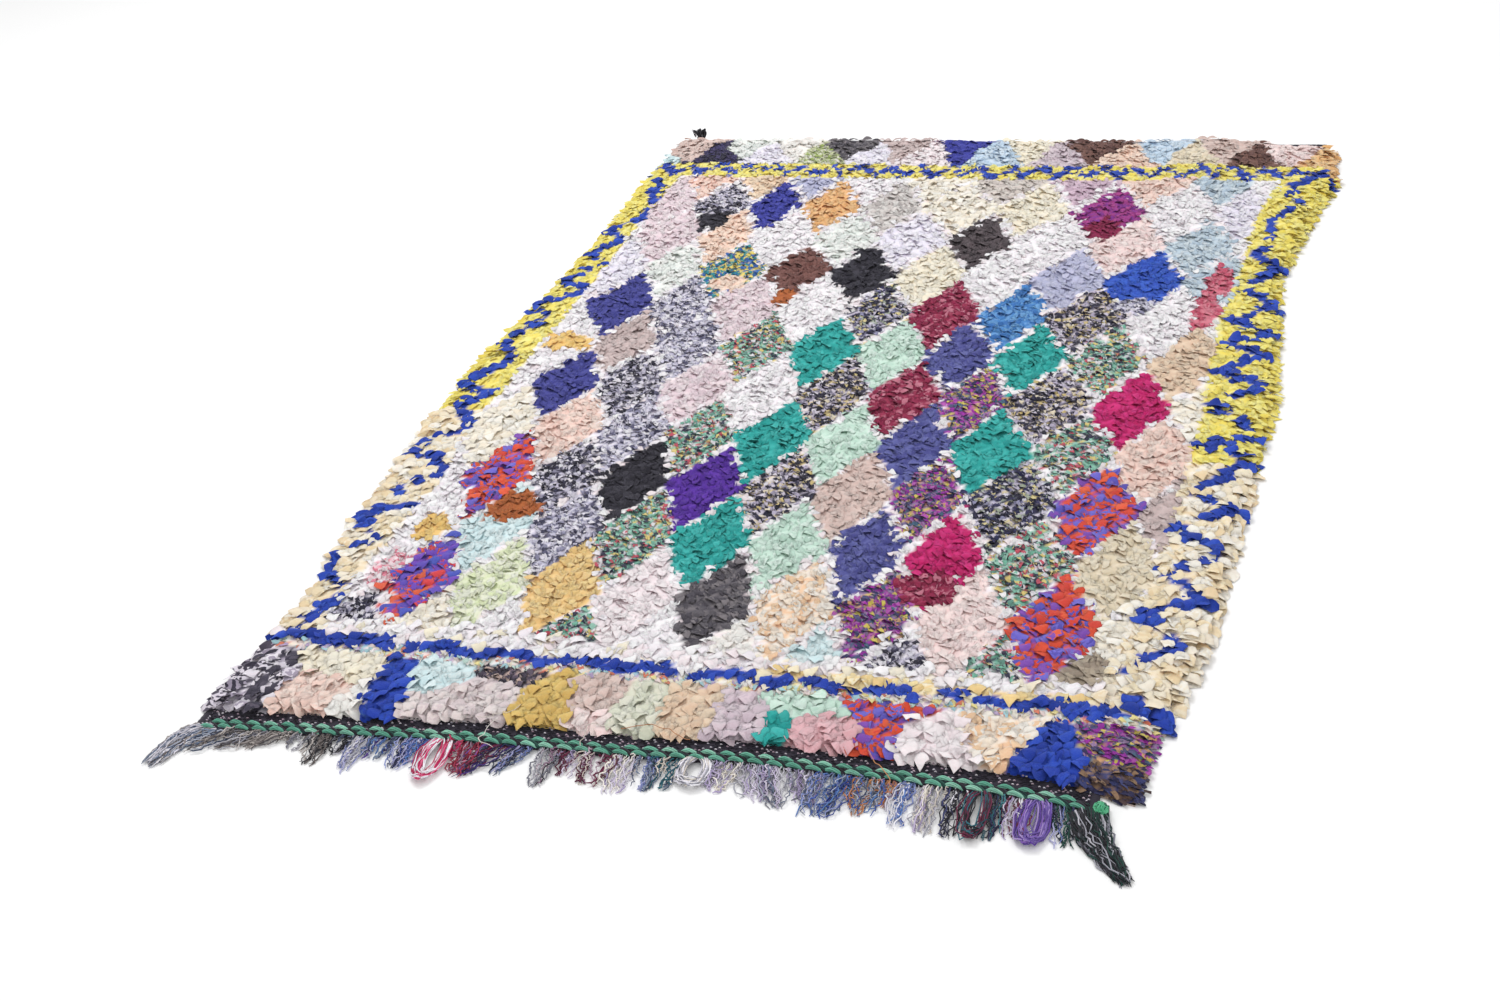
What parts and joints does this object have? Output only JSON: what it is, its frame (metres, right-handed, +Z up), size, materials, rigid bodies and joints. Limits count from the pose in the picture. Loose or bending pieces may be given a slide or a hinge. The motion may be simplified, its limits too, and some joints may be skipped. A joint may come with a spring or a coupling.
{
  "type": "boucherouite rug",
  "caption": "Flat hand-knotted rag-pile rug with a lozenge field, zigzag borders, a woven band with a twined chain and fringe at one end, and corner tassels.",
  "frame": {"origin": "middle of the rug's whole box, on the floor", "axes": "+Y along the length, towards the far end without fringe; +X across the width, to the right seen from the fringed end; +Z up, out of the pile"},
  "size_m": [1.492, 2.3168, 0.0335],
  "materials": {
    "rag_cotton": "matte cut rags of cotton in many colours",
    "dark_band": "matte woven yarn, black with pale specks",
    "fringe_yarn": "matte crinkled yarn",
    "chain_yarn": "matte two-ply twined yarn",
    "grey_blue_yarn": "matte loose yarn",
    "dark_green_yarn": "matte loose yarn",
    "black_white_yarn": "matte loose yarn"
  },
  "bodies": {
    "root": {"rag_pile": "rag_cotton", "far_band": "dark_band", "warp_fringe": "fringe_yarn", "twined_chain": "chain_yarn", "tassel_left": "grey_blue_yarn", "tassel_right": "dark_green_yarn", "corner_tuft": "black_white_yarn"}
  },
  "joints": []
}
